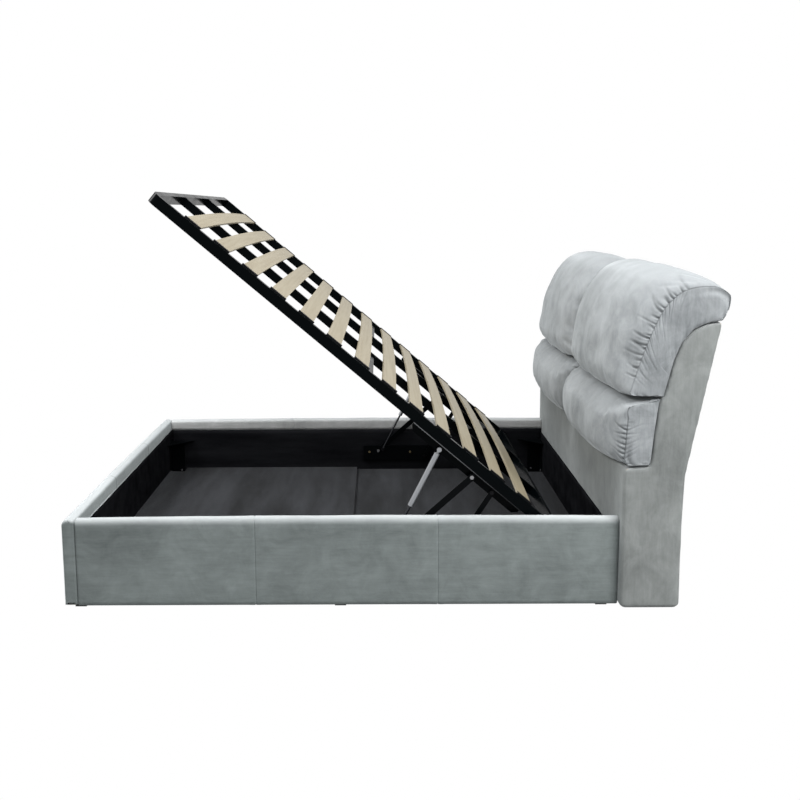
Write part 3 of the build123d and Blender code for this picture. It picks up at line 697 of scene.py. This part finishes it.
# A seam's tucks: first and last place as shares of its length, how many, how long, how deep,
# and their slant; and how strongly the seam itself is drawn in and darkened with painted shade.
Tucks = namedtuple("Tucks", "first last count reach depth groove slant")
upper_tucks = [
    Tucks(first=0.10, last=0.66, count=15, reach=0.085, depth=0.0056, groove=0.3, slant=0.7),
    Tucks(first=0.10, last=0.62, count=19, reach=0.105, depth=0.0052, groove=0.8, slant=0.55),
]
lower_tucks = [
    Tucks(first=0.02, last=0.60, count=8, reach=0.055, depth=0.0038, groove=0.3, slant=-0.2),
    Tucks(first=0.24, last=0.72, count=9, reach=0.065, depth=0.0042, groove=1.0, slant=-0.2),
]


def spline(values, at):
    """Values along a list, taken smoothly between its places."""
    values, at = np.asarray(values, float), np.asarray(at, float)
    last = len(values) - 1
    i = np.clip(at.astype(int), 0, last - 1)
    t = (at - i).reshape(-1, *[1] * (values.ndim - 1))
    p, q, r, s = values[np.maximum(i - 1, 0)], values[i], values[i + 1], values[np.minimum(i + 2, last)]
    return q + 0.5 * t * (r - p + t * (2 * p - 5 * q + 4 * r - s + t * (3 * (q - r) + s - p)))


def finer(grid, rows, columns):
    """A grid of points taken smoothly at other rows and columns."""
    return np.swapaxes(spline(np.swapaxes(spline(grid, rows), 0, 1), columns), 0, 1)


def softened(values, rounds):
    """Smooths along the first axis, with the two ends held."""
    values = np.array(values, float)
    for _ in range(rounds):
        values[1:-1] = 0.25 * values[:-2] + 0.5 * values[1:-1] + 0.25 * values[2:]
    return values


def even_line(points, count):
    """Points at even steps along a line of straight runs."""
    p = np.array(points, float)
    t = np.concatenate([[0], np.cumsum(np.linalg.norm(np.diff(p, axis=0), axis=1))])
    fine = np.linspace(0, t[-1], count)
    return np.stack([np.interp(fine, t, p[:, i]) for i in range(2)], 1)


def section_line(corners, counts, rounds):
    """A section's points: a bow over each run between its corners, then smoothed."""
    out = []
    for (x0, z0, rise), (x1, z1, _), count in zip(corners, corners[1:], counts):
        start, end = np.array(board_point((x0, z0))), np.array(board_point((x1, z1)))
        run = end - start
        left = np.array([-run[1], run[0]]) / np.linalg.norm(run)
        for t in np.arange(count) / count:
            out.append(start + run * t + left * (4 * rise * board_reach * t * (1 - t)))
    out.append(np.array(board_point(corners[-1][:2])))
    return softened(out, rounds)


def crown(share):
    """How full a cushion is at a share of its width, from its inner end."""
    fine = np.linspace(0, 1, 401)
    place, value = np.array(crown_place), np.array(crown_fullness)
    head, tail = slice(crown_middle + 1), slice(None, crown_middle - 1, -1)
    inner = np.interp(np.sqrt(fine), np.sqrt(place[head]), value[head])
    outer = np.interp(np.sqrt(1 - fine), np.sqrt(1 - place[tail]), value[tail])
    return np.interp(share, fine, softened(np.where(fine < 0.5, inner, outer), 30))


def end_steps(length, first, growth, largest):
    """Stations across a width, close together at both ends."""
    half, step = [0.0], first
    while half[-1] + step < length / 2:
        half.append(half[-1] + step)
        step = min(step * growth, largest)
    return np.array(half + [length - d for d in half[::-1]])


class Pad:
    """A cushion's skin as grids: the front, the two end panels, and the back on the body."""

    def __init__(self, seam, full, counts, rest, inner, outer):
        self.seam = section_line(seam, counts, 3)
        self.full = section_line(full, counts, 8)
        self.rows = len(self.seam)
        self.bottom = counts[0]
        self.inner, self.outer = inner, outer
        self.width = abs(outer - inner)
        self.coarse = [0, *range(coarse_rows, self.rows - coarse_rows // 2 - 1, coarse_rows), self.rows - 1]
        joined = [self.seam[0]] + [board_point(share) for share in rest] + [self.seam[-1]]
        below = np.linspace(0, bottom_share, self.bottom, endpoint=False)
        share = np.concatenate([below, np.linspace(bottom_share, 1, self.rows - self.bottom)])
        fine = even_line(joined, line_points)
        even = np.linspace(0, 1, line_points)
        self.rest = np.stack([np.interp(share, even, fine[:, i]) for i in range(2)], 1)

    def grids(self, places):
        """The plain shape: front rows by places across, and both panels rows by columns."""
        full = crown((places - self.inner) / (self.outer - self.inner))[None, :, None]
        xz = self.seam[:, None] + (self.full - self.seam)[:, None] * full
        front = np.stack([xz[..., 0], np.broadcast_to(places, xz.shape[:2]), xz[..., 1]], -1)
        return front, [self.panel(front[:, i]) for i in (0, -1)]

    def panel(self, edge):
        reach = np.linspace(0, 1, cloth_columns + 1)[None, :, None]
        back = np.stack([self.rest[:, 0], edge[:, 1], self.rest[:, 1]], 1)
        back[0], back[-1] = edge[0], edge[-1]
        return edge[:, None] + (back - edge)[:, None] * reach

    def mesh(self, front, panels, coarse):
        """The closed skin's vertices and faces, with each vertex's kind, row and place.

        The kind is 0 on the front, 1 and 2 on the inner and outer panel, and 3 on the back,
        which has only the coarse rows.
        """
        rows, across = front.shape[:2]
        columns = panels[0].shape[1] - 1
        verts = list(front.reshape(-1, 3))
        tag = [(0, j, i) for j in range(rows) for i in range(across)]
        index = np.zeros((2, rows, columns + 1), int)
        for e in (0, 1):
            for j in range(rows):
                for k in range(columns + 1):
                    if k == 0 or j in (0, rows - 1):
                        index[e, j, k] = j * across + (across - 1) * e
                    else:
                        index[e, j, k] = len(verts)
                        verts.append(panels[e][j, k])
                        tag.append((1 + e, j, k))
        back = np.zeros((len(coarse), across), int)
        for r, j in enumerate(coarse):
            for i in range(across):
                if j in (0, rows - 1):
                    back[r, i] = j * across + i
                elif i in (0, across - 1):
                    back[r, i] = index[min(i, 1), j, columns]
                else:
                    back[r, i] = len(verts)
                    x, _, z = (panels[0][j, columns] + panels[1][j, columns]) / 2
                    verts.append((x, front[j, i, 1], z))
                    tag.append((3, j, i))
        return np.array(verts, float), self.faces(index, back, coarse), np.array(tag)

    def faces(self, index, back, coarse):
        rows, columns = index.shape[1], index.shape[2] - 1
        across = back.shape[1]
        loops = []
        for j in range(rows - 1):
            for i in range(across - 1):
                a = j * across + i
                loops.append((a, a + 1, a + across + 1, a + across))
        for side in index:
            for j in range(rows - 1):
                for k in range(columns):
                    loops.append((side[j, k], side[j + 1, k], side[j + 1, k + 1], side[j, k + 1]))
        for r, (low, high) in enumerate(zip(coarse, coarse[1:])):
            for i in range(across - 1):
                outer = [index[1, j, columns] for j in range(low + 1, high)] if i == across - 2 else []
                inner = [index[0, j, columns] for j in range(high - 1, low, -1)] if i == 0 else []
                near, far = (back[r, i], back[r, i + 1]), (back[r + 1, i + 1], back[r + 1, i])
                loops.append((*near, *outer, *far, *inner))
        faces = [tuple(dict.fromkeys(int(v) for v in loop)) for loop in loops]
        return [face for face in faces if len(face) > 2]


def inflate(obj, held, cap):
    """Swells a closed pad with Blender's cloth, holding some points and capping the rest."""
    start = read_vectors(obj.data, "co")
    group = obj.vertex_groups.new(name="held")
    group.add([int(i) for i in np.nonzero(held)[0]], 1.0, "REPLACE")
    mod = add_modifier(obj, "CLOTH")
    cloth = mod.settings
    cloth.quality = 5
    cloth.mass = 0.4
    cloth.tension_stiffness = 12
    cloth.compression_stiffness = 8
    cloth.shear_stiffness = 6
    cloth.bending_stiffness = 0.35
    cloth.use_pressure = True
    cloth.uniform_pressure_force = swell_pressure
    cloth.effector_weights.gravity = 0
    cloth.vertex_group_mass = "held"
    cloth.shrink_min = -0.03
    mod.collision_settings.use_self_collision = False
    scene = bpy.context.scene
    for step in range(1, swell_steps + 1):
        scene.frame_set(step)
    graph = bpy.context.evaluated_depsgraph_get()
    move = read_vectors(obj.evaluated_get(graph).data, "co") - start
    bpy.data.objects.remove(obj)
    scene.frame_set(1)
    size = np.linalg.norm(move, axis=1)
    return start + move * (np.minimum(size, cap) / np.maximum(size, 1e-9))[:, None]


def swell(pad, places, front, panels, material):
    """Draws the pad's grids in a little, and swells them by a cloth simulation."""
    verts, faces, tag = pad.mesh(front, panels, pad.coarse)
    obj = new_object("pad", verts, faces, material)
    face_outward(obj)
    kind, row, place = tag.T
    skin = kind == 0
    held = (kind == 3) | (~skin & (place == cloth_columns))
    held |= skin & ((place == 0) | (place == len(places) - 1) | (row == 0) | (row == pad.rows - 1))
    from_end = np.minimum(places - places.min(), places.max() - places)
    free = np.clip(from_end[np.minimum(place, len(places) - 1)] / swell_margin, 0, 1)
    free = np.where(skin, free, 0.35)
    free = np.where(skin & (row < pad.bottom), 0.3 * free, free)
    free[held] = 0
    write_points(obj.data, verts - read_vectors(obj.data, "normal") * (drawn_in * free)[:, None])
    cap = swell_cap * np.where(skin, np.clip(row / (1.5 * pad.bottom), 0.3, 1), 0.8)
    for (k, j, i), point in zip(tag, inflate(obj, held, cap)):
        if k == 0:
            front[j, i] = point
        elif k < 3:
            panels[k - 1][j, i] = point
    for e in (0, 1):
        panels[e][:, 0] = front[:, -e]
        panels[e][0], panels[e][-1] = front[0, -e], front[-1, -e]
    front[1:-1] = softened(front, 2)[1:-1]
    front[:, 1:-1] = np.swapaxes(softened(np.swapaxes(front, 0, 1), 2), 0, 1)[:, 1:-1]


def swollen(pad, material):
    """The pad's front and end panels as fine grids, swollen and with close rows at the seams."""
    places = pad.inner + end_steps(pad.width, *cloth_steps) * np.sign(pad.outer - pad.inner)
    front, panels = pad.grids(places)
    swell(pad, places, front, panels, material)
    at = np.interp(end_steps(pad.width, *skin_steps), np.abs(places - pad.inner), np.arange(len(places)))
    rows = np.arange(2 * pad.rows - 1) / 2
    front = finer(front, rows, at)
    reach = np.expm1(np.linspace(0, column_growth, skin_columns)) / math.expm1(column_growth)
    panels = [finer(panel, rows, cloth_columns * reach) for panel in panels]
    for e in (0, 1):
        panels[e][:, 0] = front[:, -e]
    return front, panels


def run_length(points, axis):
    """How far each point of a grid lies along an axis from its start."""
    steps = np.linalg.norm(np.diff(points, axis=axis), axis=2)
    start = np.zeros_like(np.take(steps, [0], axis=axis))
    return np.concatenate([start, np.cumsum(steps, axis=axis)], axis=axis)


def gathers(along, away, length, tucks, slant, seed):
    """Short tucks that run out from a seam, each its own length, depth, slant and place, with painted shade
    in each valley.
    """
    local = np.random.default_rng(seed)
    height, shade = np.zeros(along.shape), np.zeros(along.shape)
    first, last = tucks.first * length, tucks.last * length
    step = (last - first) / tucks.count
    for place in np.linspace(first, last, tucks.count):
        place += local.uniform(-0.34, 0.34) * step
        reach = tucks.reach * local.choice([0.4, 0.7, 1.0, 1.3]) * local.uniform(0.85, 1.15)
        depth = tucks.depth * local.uniform(0.6, 1.25)
        lean = slant + local.uniform(-0.22, 0.22)
        bend = local.uniform(-1.6, 1.6)
        width = tuck_width * local.uniform(0.8, 1.4)
        across = (along - place - lean * away - bend * away ** 2) / (width * (1 + 4.0 * away))
        fade = np.clip(1 - away / reach, 0, 1) ** 0.8 * np.clip((away + 0.0005) / 0.0035, 0, 1)
        valley = np.exp(-across ** 2)
        shoulder = np.exp(-((np.abs(across) - 2.3) / 1.2) ** 2)
        height += depth * (0.3 * shoulder - valley) * fade
        # Painted shade in the tuck's valley.
        shade += valley * fade * min(1.0, depth / tucks.depth)
    return height, shade


def seam_work(pad, front, panels, tag, away, tucks, seed):
    """How far the tucks and the drawn-in seams move each point, and how much painted shade they lay on it.
    """
    kind, row, place = tag.T
    height, shade = np.zeros(len(tag)), np.zeros(len(tag))
    for e, seam in enumerate(tucks):
        line = run_length(front[:, [-e]], 0)[:, 0]
        line -= line[2 * pad.bottom]
        along = line[row]
        panel = kind == 1 + e
        far = away[e].copy()
        far[panel] = run_length(panels[e], 1)[row[panel], place[panel]]
        slant = np.where(panel, -seam.slant, seam.slant)
        lift, dark = gathers(along, far, line[-1], seam, slant, seed + e)
        share = np.where(panel, 0.45, np.where(kind == 0, 1.0, 0.0))
        sewn = (along > 0.002) & (kind != 3)
        drawn = np.exp(-(far / seam_groove) ** 2) * seam.groove * sewn
        height += lift * share - seam_groove * drawn
        # Painted shade in the tucks' valleys and in the drawn-in seam.
        shade += 0.95 * dark * share + 0.9 * drawn
    return height, shade


def sewn_cushion(name, node, side, pad, grids, tucks, seed, shift, material):
    """One headboard cushion: its swollen skin with end seams and tucks along them, and painted shade in its
    creases and at its inner end.
    """
    front, panels = grids
    coarse = [0] + [2 * j for j in pad.coarse[1:-1]] + [len(front) - 1]
    verts, faces, tag = pad.mesh(front, panels, coarse)
    kind, row, place = tag.T
    skin = kind == 0
    reach = run_length(front, 1)
    away = np.full((2, len(verts)), 1.0)
    away[0][skin] = reach[row[skin], place[skin]]
    away[1][skin] = (reach[:, -1:] - reach)[row[skin], place[skin]]
    height, shade = seam_work(pad, front, panels, tag, away, tucks, seed)
    # Painted shade at the inner end, where the two cushions meet, and a wider band on the far cushion's
    # valley side.
    middle_shade = 0.60 * np.exp(-away[0] / 0.032)
    if side > 0:
        verts[:, 1] *= -1
        middle_shade += 0.42 * np.exp(-away[0] / 0.26)
    shade += middle_shade * skin
    obj = new_object(name, verts, faces, material)
    face_outward(obj)
    points = read_vectors(obj.data, "co")
    free = np.clip(np.minimum(away[0], away[1]) / calm_width, 0, 1) * skin
    height += (rumple(points, 0.20, shift) * 0.007 + rumple(points, 0.075, shift) * 0.0026) * free
    points = points + read_vectors(obj.data, "normal") * height[:, None]
    points[:, 1] = side * np.maximum(side * points[:, 1], middle_gap)
    write_points(obj.data, points)
    write_painted_shade(obj.data, shade)
    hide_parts(node)
    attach(obj, "root")


# Hard pieces

def finish_nodes(material, names, edge=0.0, segments=2):
    """Gives the nodes their material, and rounds their sharp edges."""
    for name in names:
        obj = nodes[name]
        obj.data.materials.clear()
        obj.data.materials.append(material)
        if edge:
            add_modifier(obj, "BEVEL", width=edge, segments=segments, limit_method="ANGLE",
                         angle_limit=sharp_angle, harden_normals=True)


def names_with(word):
    return [name for name in nodes if word in name]


# Room and lights

floor_half = 60.0
floor_grey = 0.32
room_light = 0.50


def show_white(tree, lit, white, end):
    """Lets a surface look plain white, while its lit shader still shades the object."""
    white.inputs["Color"].default_value = (1, 1, 1, 1)
    white.inputs["Strength"].default_value = 1.0
    path = tree.nodes.new("ShaderNodeLightPath")
    seen = path.outputs["Is Camera Ray"]
    for ray in ("Is Transmission Ray", "Is Glossy Ray"):
        either = tree.nodes.new("ShaderNodeMath")
        either.operation = "MAXIMUM"
        tree.links.new(seen, either.inputs[0])
        tree.links.new(path.outputs[ray], either.inputs[1])
        seen = either.outputs[0]
    pick = tree.nodes.new("ShaderNodeMixShader")
    tree.links.new(seen, pick.inputs[0])
    tree.links.new(lit.outputs[0], pick.inputs[1])
    tree.links.new(white.outputs[0], pick.inputs[2])
    tree.links.new(pick.outputs[0], end.inputs["Surface"])


def room():
    """A floor and a world that both look white, and a soft light from all round."""
    s = Shader("floor")
    s.base(Base_Color=(floor_grey, floor_grey, floor_grey), Roughness=0.9, Specular_IOR_Level=0.1)
    white = s.tree.nodes.new("ShaderNodeEmission")
    show_white(s.tree, s.bsdf, white, s.tree.nodes["Material Output"])
    corners = [(-1, -1), (1, -1), (1, 1), (-1, 1)]
    floor = new_object("floor", [(x * floor_half, y * floor_half, 0) for x, y in corners],
                       [(0, 1, 2, 3)], s.mat, False)

    world = bpy.data.worlds.new("room")
    bpy.context.scene.world = world
    world.use_nodes = True
    tree = world.node_tree
    lit = tree.nodes["Background"]
    lit.inputs["Color"].default_value = (0.95, 0.98, 1.0, 1)
    lit.inputs["Strength"].default_value = room_light
    show_white(tree, lit, tree.nodes.new("ShaderNodeBackground"), tree.nodes["World Output"])


def lamp(name, at, to, size, power):
    data = bpy.data.lights.new(name, "AREA")
    data.shape = "DISK"
    data.size = size
    data.energy = power
    obj = bpy.data.objects.new(name, data)
    bpy.context.scene.collection.objects.link(obj)
    obj.location = at
    obj.rotation_euler = (Vector(to) - Vector(at)).to_track_quat("-Z", "Y").to_euler()


# Build

place_camera()
room()
lamp("above", at=(-0.2, -0.7, 4.6), to=(0.2, 0.0, 0.3), size=3.2, power=108)
lamp("front", at=(2.5, -3.4, 3.5), to=(1.0, 0.0, 0.6), size=2.0, power=184)
lamp("head", at=(3.4, -2.6, 3.0), to=(1.0, 0.0, 0.9), size=2.2, power=14)
lamp("foot", at=(-3.2, 0.0, 3.6), to=(1.0, 0.0, 0.8), size=1.6, power=142)

# Each velvet's top colour is the painted highlight on the faces that look up.
rail_velvet = velvet("rail_velvet", deep=(0.112, 0.128, 0.126), pale=(0.246, 0.278, 0.272),
                     top=(0.53, 0.555, 0.56), streak=(9, 9, 70), shift=(2, 5, 1), sheen=0.9)
# The far rail's velvet is a paler, painted-lit copy of the rail velvet.
far_rail_lit_velvet = velvet("far_rail_lit_velvet", deep=(0.30, 0.305, 0.302), pale=(0.60, 0.60, 0.595),
                    top=(0.56, 0.58, 0.585), streak=(9, 9, 70), shift=(5, 1, 4), sheen=0.9)
side_velvet = velvet("side_velvet", deep=(0.130, 0.139, 0.135), pale=(0.315, 0.331, 0.323),
                     top=(0.37, 0.385, 0.385), streak=(60, 60, 9), shift=(7, 1, 3))
cushion_velvet = velvet("cushion_velvet", deep=(0.128, 0.139, 0.145), pale=(0.425, 0.445, 0.457),
                        top=(0.325, 0.342, 0.352), streak=(60, 8, 10), shift=(4, 8, 6))
lining = woven("lining_cloth", dark=(0.0055, 0.0057, 0.0068), light=(0.0145, 0.0150, 0.0170),
               pitch=900)
floor_cloth = woven("floor_cloth", dark=(0.0045, 0.0050, 0.0060), light=(0.034, 0.036, 0.041),
                    pitch=700, streak=(9.0, 1.2, 9.0), sheen=0.08, shine=0.09)

# A painted highlight runs along the platform angles' top edge.
platform_tilt = math.radians(40.4)
painted_highlight_height = 0.0032
black = (0.0008, 0.0014, 0.0017)
platform_up = Vector((math.sin(platform_tilt), 0, math.cos(platform_tilt)))
angle_points = nodes["near_platform_angle"].data.vertices
angle_top = max(point.co.dot(platform_up) for point in angle_points)
frame_paint = gloss_paint("frame_paint", black, 0.16, 0.022)
angle_paint = gloss_paint("angle_paint", black, 0.16, 0.022, platform_up, angle_top - painted_highlight_height)
bracket_paint = gloss_paint("bracket_paint", (0.0014, 0.0018, 0.0021), 0.34, 0.03)

# The lift's pivots are coloured black past a set X along the bed, and left bare metal towards the foot.
silver = metal("strut_silver", (0.30, 0.31, 0.325), 0.36)
rod_steel = metal("rod_steel", (0.045, 0.047, 0.052), 0.14, wear_and_highlight=0.1)
zinc = metal("zinc_fixings", (0.26, 0.26, 0.27), 0.30, wear_and_highlight=0.6)
stud_zinc = metal("stud_zinc", (0.10, 0.10, 0.105), 0.30, wear_and_highlight=0.6)
pivot_zinc = metal("pivot_zinc", (0.30, 0.30, 0.31), 0.30, wear_and_highlight=0.6, black_from=0.335)
base_zinc = metal("base_zinc", (0.36, 0.36, 0.37), 0.30, black_from=0.10)
yellow_zinc = metal("yellow_zinc", (0.34, 0.27, 0.15), 0.30)
holder = moulded("holder_plastic", (0.004, 0.004, 0.0045))
glide = moulded("glide_plastic", (0.02, 0.02, 0.02), 0.6)

finish_nodes(slat_wood(), names_with("slat_0") + names_with("slat_1"), 0.0015)
finish_nodes(frame_paint, both("side_tube", "inner_bar") + ["foot_end_tube", "head_end_tube", "cross_ties"],
             0.0022, 3)
finish_nodes(angle_paint, both("platform_angle"), 0.0006)
finish_nodes(bracket_paint, both("front_arm", "rear_arm", "lift_channel") + ["corner_brackets"], 0.0006)
finish_nodes(silver, both("strut_cylinder"), 0.0004)
finish_nodes(rod_steel, both("strut_rod"))
finish_nodes(zinc, ["bracket_bolts"], 0.0004)
finish_nodes(stud_zinc, ["ball_studs"], 0.0004)
finish_nodes(base_zinc, ["base_pivots"], 0.0004)
finish_nodes(pivot_zinc, ["platform_pivots", "rear_upper_pins"], 0.0004)
finish_nodes(yellow_zinc, ["channel_bolts"], 0.0004)
finish_nodes(holder, ["slat_holders"], 0.0005)
finish_nodes(glide, ["glides"], 0.001)
finish_nodes(floor_cloth, ["foot_floor_board", "head_floor_board"], 0.002)
finish_nodes(board_wood(), ["floor_bearers", "headboard_frame"] + names_with("_core"), 0.001)

foot_low, foot_high = box("foot_board_cover")
rail_seams = [share * (rail_high[0] - rail_low[0]) for share in (0.331, 0.668)]
foot_seams = [share * (foot_high[1] - foot_low[1]) for share in (1 / 3, 2 / 3)]
rail_cover("near_rail_velvet", "near_rail_cover", 0, -1, rail_seams, rail_velvet, Vector((1, 2, 3)))
rail_cover("far_rail_velvet", "far_rail_cover", 0, 1, rail_seams, far_rail_lit_velvet, Vector((5, 2, 8)))
rail_cover("foot_board_velvet", "foot_board_cover", 1, -1, foot_seams, rail_velvet,
           Vector((9, 4, 1)), closed=True)
for _, word in sides:
    lining_panel(f"{word}_rail_cloth", f"{word}_rail_lining", 0, lining, Vector((3, 3, 5)))
lining_panel("foot_board_cloth", "foot_board_lining", 1, lining, Vector((6, 1, 5)))
lining_panel("head_cloth", "head_lining", 1, lining, Vector((2, 8, 5)))
corner_boards(floor_cloth)
headboard_body(side_velvet)

cushion_low, cushion_high = box("near_upper_cushion")
ends = (cushion_high[1], cushion_low[1])
upper_pad = Pad(upper_seam, upper_full, upper_counts, upper_rest, *ends)
lower_pad = Pad(lower_seam, lower_full, lower_counts, lower_rest, *ends)
upper_grids = swollen(upper_pad, cushion_velvet)
lower_grids = swollen(lower_pad, cushion_velvet)
for side, word in sides:
    sewn_cushion(f"{word}_upper_pad", f"{word}_upper_cushion", side, upper_pad, upper_grids,
                 upper_tucks, 20 + side, Vector((side * 3.0, 4, 1)), cushion_velvet)
    sewn_cushion(f"{word}_lower_pad", f"{word}_lower_cushion", side, lower_pad, lower_grids,
                 lower_tucks, 40 + side, Vector((side * 5.0, 9, 2)), cushion_velvet)

bpy.context.scene.view_settings.view_transform = "Standard"
